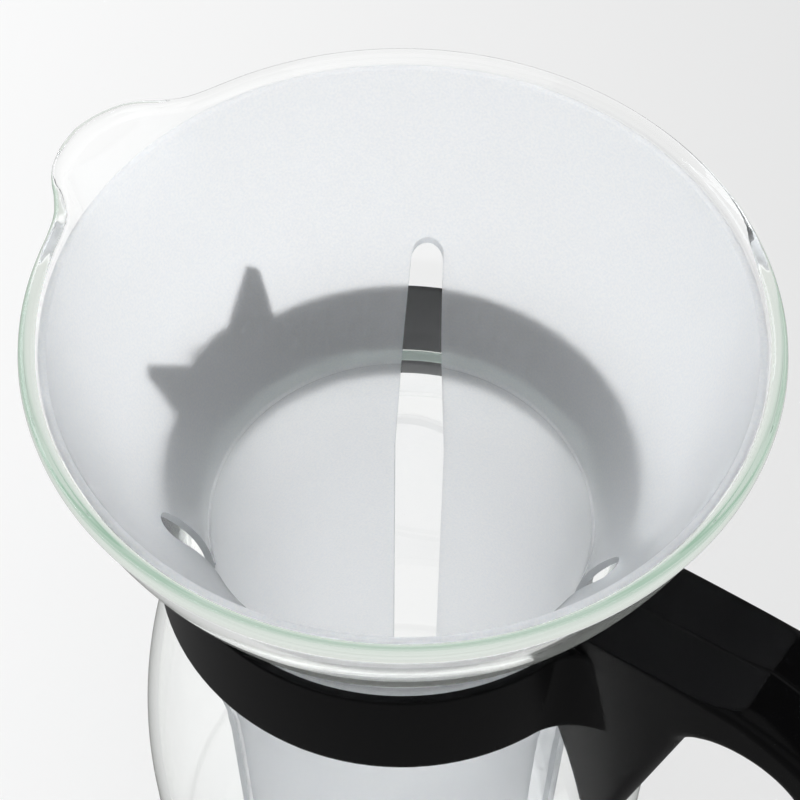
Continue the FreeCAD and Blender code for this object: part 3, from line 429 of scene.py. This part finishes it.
LOW = (WAIST_R + LOW_CURVE, WAIST_Z)
HIGH = (WAIST_R + HIGH_CURVE, WAIST_Z)
BOWL = tangent_centre(LIP, BOWL_CURVE, HIGH, HIGH_CURVE)
SHOULDER_REACH = LOW_CURVE + SHOULDER_CURVE
SHOULDER_R = BODY_R - SHOULDER_CURVE
SHOULDER = (SHOULDER_R, WAIST_Z - math.sqrt(SHOULDER_REACH ** 2 - (LOW[0] - SHOULDER_R) ** 2))


def glass_skin(inset, base_z):
    """The jug's profile from the middle of its base to the bead, moved in by inset."""
    corner = BASE_CORNER - inset
    flat_r = BODY_R - BASE_CORNER
    body = BODY_R - inset
    body_z = base_z + corner
    points = [(flat_r * share, base_z) for share in BASE_RINGS]
    points += arc((flat_r, body_z), corner, (flat_r, base_z), (body, body_z), CORNER_STEPS)
    points += [(body, body_z + (SHOULDER[1] - body_z) * k / BODY_STEPS)
               for k in range(1, BODY_STEPS)]
    low_joint = between(LOW, SHOULDER, (LOW_CURVE + inset) / SHOULDER_REACH)
    high_joint = between(HIGH, BOWL, (HIGH_CURVE + inset) / (HIGH_CURVE + BOWL_CURVE))
    points += arc(SHOULDER, SHOULDER_CURVE - inset, (body, SHOULDER[1]), low_joint, SHOULDER_STEPS)
    waist = (WAIST_R - inset, WAIST_Z)
    points += arc(LOW, LOW_CURVE + inset, low_joint, waist, LOW_STEPS)[1:]
    points += arc(HIGH, HIGH_CURVE + inset, waist, high_joint, HIGH_STEPS)[1:]
    curve, top_z = BOWL_CURVE - inset, LIP[1] - SKIN_DROP
    top = (BOWL[0] + math.sqrt(curve ** 2 - (top_z - BOWL[1]) ** 2), top_z)
    points += arc(BOWL, curve, high_joint, top, BOWL_STEPS)[1:]
    return points


def spout_share(z):
    """How much of the spout is left at a height: all at the lip, none a spout's length below."""
    t = min(max((z - (RIM_Z - SPOUT_LENGTH)) / SPOUT_LENGTH, 0.0), 1.0)
    return t ** 2 * (3 - 2 * t) * SPOUT_SOFT_SHARE + t ** 3 * (1 - SPOUT_SOFT_SHARE)


def spout_shape(r, z, angle):
    """Move a point of the jug outward by what the spout, on the -X side, asks for."""
    off = abs(math.degrees(angle) - 180.0)
    reach = float(np.interp(off, *zip(*SPOUT_OUTLINE)))
    return r + reach * spout_share(z), z


def bead_arc(outer_end, inner_end):
    """The rim's bead, from the outer skin over the top to the inner one."""
    centre = (RIM_R - BEAD_R, RIM_Z - BEAD_R)
    start = math.atan2(outer_end[1] - centre[1], outer_end[0] - centre[0])
    finish = math.atan2(inner_end[1] - centre[1], inner_end[0] - centre[0]) % TAU
    return [(centre[0] + BEAD_R * math.cos(a), centre[1] + BEAD_R * math.sin(a))
            for a in np.linspace(start + BEAD_TRIM, finish - BEAD_TRIM, BEAD_STEPS)]


def make_glass():
    outer = ribbed(glass_skin(0.0, 0.0), BAND_Z, BAND_RIB, BAND_RIB_WIDTH)
    inner = glass_skin(GLASS_WALL, BASE_THICKNESS)
    points = outer + bead_arc(outer[-1], inner[-1]) + inner[::-1]
    obj = lathe("glass_jug", points, shape=spout_shape)
    dress(obj, clear_glass())
    obj.data.materials.append(band_painted_glow())
    # the waist band's outer faces get the painted green glow
    low, high = BAND_Z
    for poly in obj.data.polygons:
        r = math.hypot(poly.center.x, poly.center.y)
        if low * MM < poly.center.z < high * MM and r > (WAIST_R - BAND_SKIN) * MM:
            poly.material_index = 1
    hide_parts("glass_server")
    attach(obj, "server")


# ---------------------------------------------------------------- ice strainer

def strainer_skin(inset):
    """The strainer's profile from the middle of its foot to its top, moved in by inset."""
    curve = BOWL_CURVE - GLASS_WALL - STRAINER_GAP
    hang_r = TUBE_R + TUBE_CURVE
    reach = TUBE_CURVE + curve
    hang = (hang_r, BOWL[1] - math.sqrt(reach ** 2 - (hang_r - BOWL[0]) ** 2))
    joint = between(hang, BOWL, (TUBE_CURVE + inset) / reach)
    top_r = BOWL[0] + math.sqrt((curve - inset) ** 2 - (STRAINER_TOP - BOWL[1]) ** 2)
    flat_r = FOOT_R - FOOT_CORNER
    foot = (flat_r, FOOT_Z + FOOT_CORNER)
    low = FOOT_Z + inset
    tube_low, tube_high = (FOOT_R - inset, foot[1]), (TUBE_R - inset, hang[1])
    points = [(flat_r * share, low) for share in FOOT_RINGS]
    points += arc(foot, FOOT_CORNER - inset, (flat_r, low), tube_low, FOOT_STEPS)
    points += [between(tube_low, tube_high, k / TUBE_STEPS) for k in range(1, TUBE_STEPS)]
    points += arc(hang, TUBE_CURVE + inset, tube_high, joint, HANG_STEPS)
    points += arc(BOWL, curve - inset, joint, (top_r, STRAINER_TOP), BOWL_STEPS)[1:]
    return points


def slot_outline():
    """Edge of one slot as (across, height), anticlockwise from its low end."""
    low = half_circle(SLOT_LOW + SLOT_HALF, SLOT_HALF, -math.pi, SLOT_STEPS)
    high = half_circle(SLOT_TOP - SLOT_TOP_HALF, SLOT_TOP_HALF, 0.0, SLOT_STEPS)
    return low + [(SLOT_HALF, SLOT_FULL)] + high + [(-SLOT_HALF, SLOT_FULL)]


def drain_outline():
    """Edge of one drain in the strainer's floor as (across, out from the axis)."""
    near = half_circle(DRAIN_INNER + DRAIN_HALF, DRAIN_HALF, math.pi, DRAIN_STEPS)
    return near + half_circle(DRAIN_OUTER - DRAIN_HALF, DRAIN_HALF, 0.0, DRAIN_STEPS)


def make_strainer():
    outer = strainer_skin(0.0)
    inner = ribbed(strainer_skin(STRAINER_WALL), (SEAT_Z,), -SEAT_RIB, SEAT_WIDTH)
    lip = [between(outer[-1], inner[-1], share) for share in (0.25, 0.5, 0.75)]
    lip = [(r, z + STRAINER_CROWN) for r, z in lip]
    obj = lathe("ice_strainer_frosted", outer + lip + inner[::-1])
    dress(obj, frosted_plastic())
    edge = frosted_edge()
    for k in range(SLOT_COUNT):
        cutter = prism("slot_cutter", slot_outline(), *SLOT_CUT, edge)
        cutter.data.transform(Matrix.Rotation(TAU * k / SLOT_COUNT, 4, "Z"))
        cut(obj, cutter)
    upright = Matrix.Rotation(TAU / 4, 4, "Y")
    for k in range(DRAIN_COUNT):
        cutter = prism("drain_cutter", drain_outline(), -(FOOT_Z + FOOT_CORNER),
                       -(FOOT_Z - DRAIN_CLEAR), edge)
        cutter.data.transform(Matrix.Rotation(TAU * k / DRAIN_COUNT, 4, "Z") @ upright)
        cut(obj, cutter)
    smooth(obj, STRAINER_CREASE)
    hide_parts("ice_strainer")
    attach(obj, "strainer")


# ---------------------------------------------------------------- floor, light and camera

def add_stage():
    """Pale floor that glows with painted light, which falls off a little to the right; it keeps a
    faint shadow, shows pale through glass and is painted darker where it is mirrored."""
    bpy.ops.mesh.primitive_plane_add(size=FLOOR_SIZE, location=(0, 0, 0))
    floor = bpy.context.object
    floor.name = "floor"
    mat, tree, shader = principled("floor_white", FLOOR_COLOUR, FLOOR_ROUGHNESS)
    path = light_path(tree)
    place = coordinate(tree, "Object")
    # painted light, falling off towards the right and evening out far off
    near = map_range(tree, vector_value(tree, "DOT_PRODUCT", place, FALL_HEADING),
                     FALL_SPAN, FALL_LEVELS)
    level = map_range(tree, vector_value(tree, "LENGTH", place),
                      FAR_SPAN, (near, FAR_LEVEL), "SMOOTHSTEP")
    # a ray that went through glass counts as glossy too, so only the rest of them are mirrored
    mirrored = math_node(tree, "GREATER_THAN", path["Is Glossy Ray"], path["Is Transmission Ray"])
    # painted reflection: mirrored rays see the floor painted much darker than it glows
    kept = math_node(tree, "SUBTRACT", 1.0, math_node(tree, "MULTIPLY", mirrored, MIRROR_PAINTED_DIMMING))
    level = math_node(tree, "MULTIPLY", level, kept)
    glow = tree.nodes.new("ShaderNodeEmission")
    feed(tree, glow.inputs["Strength"],
         math_node(tree, "MULTIPLY", level, through_gain(tree, path)))
    share = math_node(tree, "MULTIPLY", path["Is Camera Ray"], FLOOR_GLOW)
    for whole in (mirrored, path["Is Transmission Ray"]):
        share = math_node(tree, "MAXIMUM", share, whole)
    mix = tree.nodes.new("ShaderNodeMixShader")
    for socket, value in zip(mix.inputs, (share, shader.outputs["BSDF"], glow.outputs["Emission"])):
        feed(tree, socket, value)
    feed(tree, tree.nodes["Material Output"].inputs["Surface"], mix.outputs["Shader"])
    floor.data.materials.append(mat)


def add_world():
    """Even pale light all round, which surfaces mirror as grey at the sides and dark overhead."""
    world = bpy.data.worlds.new("studio")
    bpy.context.scene.world = world
    world.use_nodes = True
    tree = world.node_tree
    back = tree.nodes["Background"]
    feed(tree, back.inputs["Color"], SKY_COLOUR)
    path = light_path(tree)
    shine = map_range(tree, coordinate(tree, "Generated", "Z"),
                      SHINE_SPAN, SHINE_LEVELS, "SMOOTHSTEP")
    light = mix_node(tree, "FLOAT", path["Is Glossy Ray"], SKY_LEVEL, shine)
    seen = math_node(tree, "MAXIMUM", path["Is Camera Ray"], path["Is Transmission Ray"])
    feed(tree, back.inputs["Strength"],
         mix_node(tree, "FLOAT", seen, light, through_gain(tree, path)))


def add_lamp(name, place, target, size, power, colour=(1, 1, 1)):
    data = bpy.data.lights.new(name, "AREA")
    data.shape = "RECTANGLE"
    data.size, data.size_y = size
    data.energy = power
    data.color = colour
    lamp = bpy.data.objects.new(name, data)
    lamp.location = place
    aim = Vector(target) - Vector(place)
    lamp.rotation_euler = aim.to_track_quat("-Z", "Y").to_euler()
    bpy.context.scene.collection.objects.link(lamp)


def add_camera():
    """Camera at the photograph's place, which was solved from the rims and the handle."""
    data = bpy.data.cameras.new("camera")
    data.lens = LENS
    data.sensor_width = SENSOR
    data.sensor_fit = "HORIZONTAL"
    camera = bpy.data.objects.new("camera", data)
    heading, dip, roll = map(math.radians, (CAMERA_HEADING, CAMERA_DIP, CAMERA_ROLL))
    forward = Vector((math.cos(heading) * math.cos(dip), math.sin(heading) * math.cos(dip),
                      -math.sin(dip)))
    level = forward.cross(Vector((0, 0, 1))).normalized()
    rise = level.cross(forward)
    right = level * math.cos(roll) + rise * math.sin(roll)
    up = rise * math.cos(roll) - level * math.sin(roll)
    matrix = Matrix((right, up, -forward)).transposed().to_4x4()
    matrix.translation = Vector(CAMERA_PLACE)
    camera.matrix_world = matrix
    bpy.context.scene.collection.objects.link(camera)
    bpy.context.scene.camera = camera


bpy.context.scene.view_settings.view_transform = "Standard"
add_stage()
add_world()
add_lamp("top_light", place=(0.25, -0.45, 1.35), target=(0, 0, 0.15), size=(1.2, 1.2), power=3.0)
add_lamp("left_light", place=(-1.04, -0.18, 0.72), target=(0, 0, 0.18), size=(1.1, 0.5), power=4.2,
         colour=(0.93, 0.965, 1.0))
add_camera()

make_glass()
make_strainer()
BLACK = black_plastic()
for node in ("handle_left", "handle_right"):
    dress(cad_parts[node], BLACK)
    smooth(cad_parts[node], HANDLE_CREASE)
dress(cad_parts["handle_screws"], steel("screw_steel"))
dress(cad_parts["hinge_pin"], steel("pin_steel"))
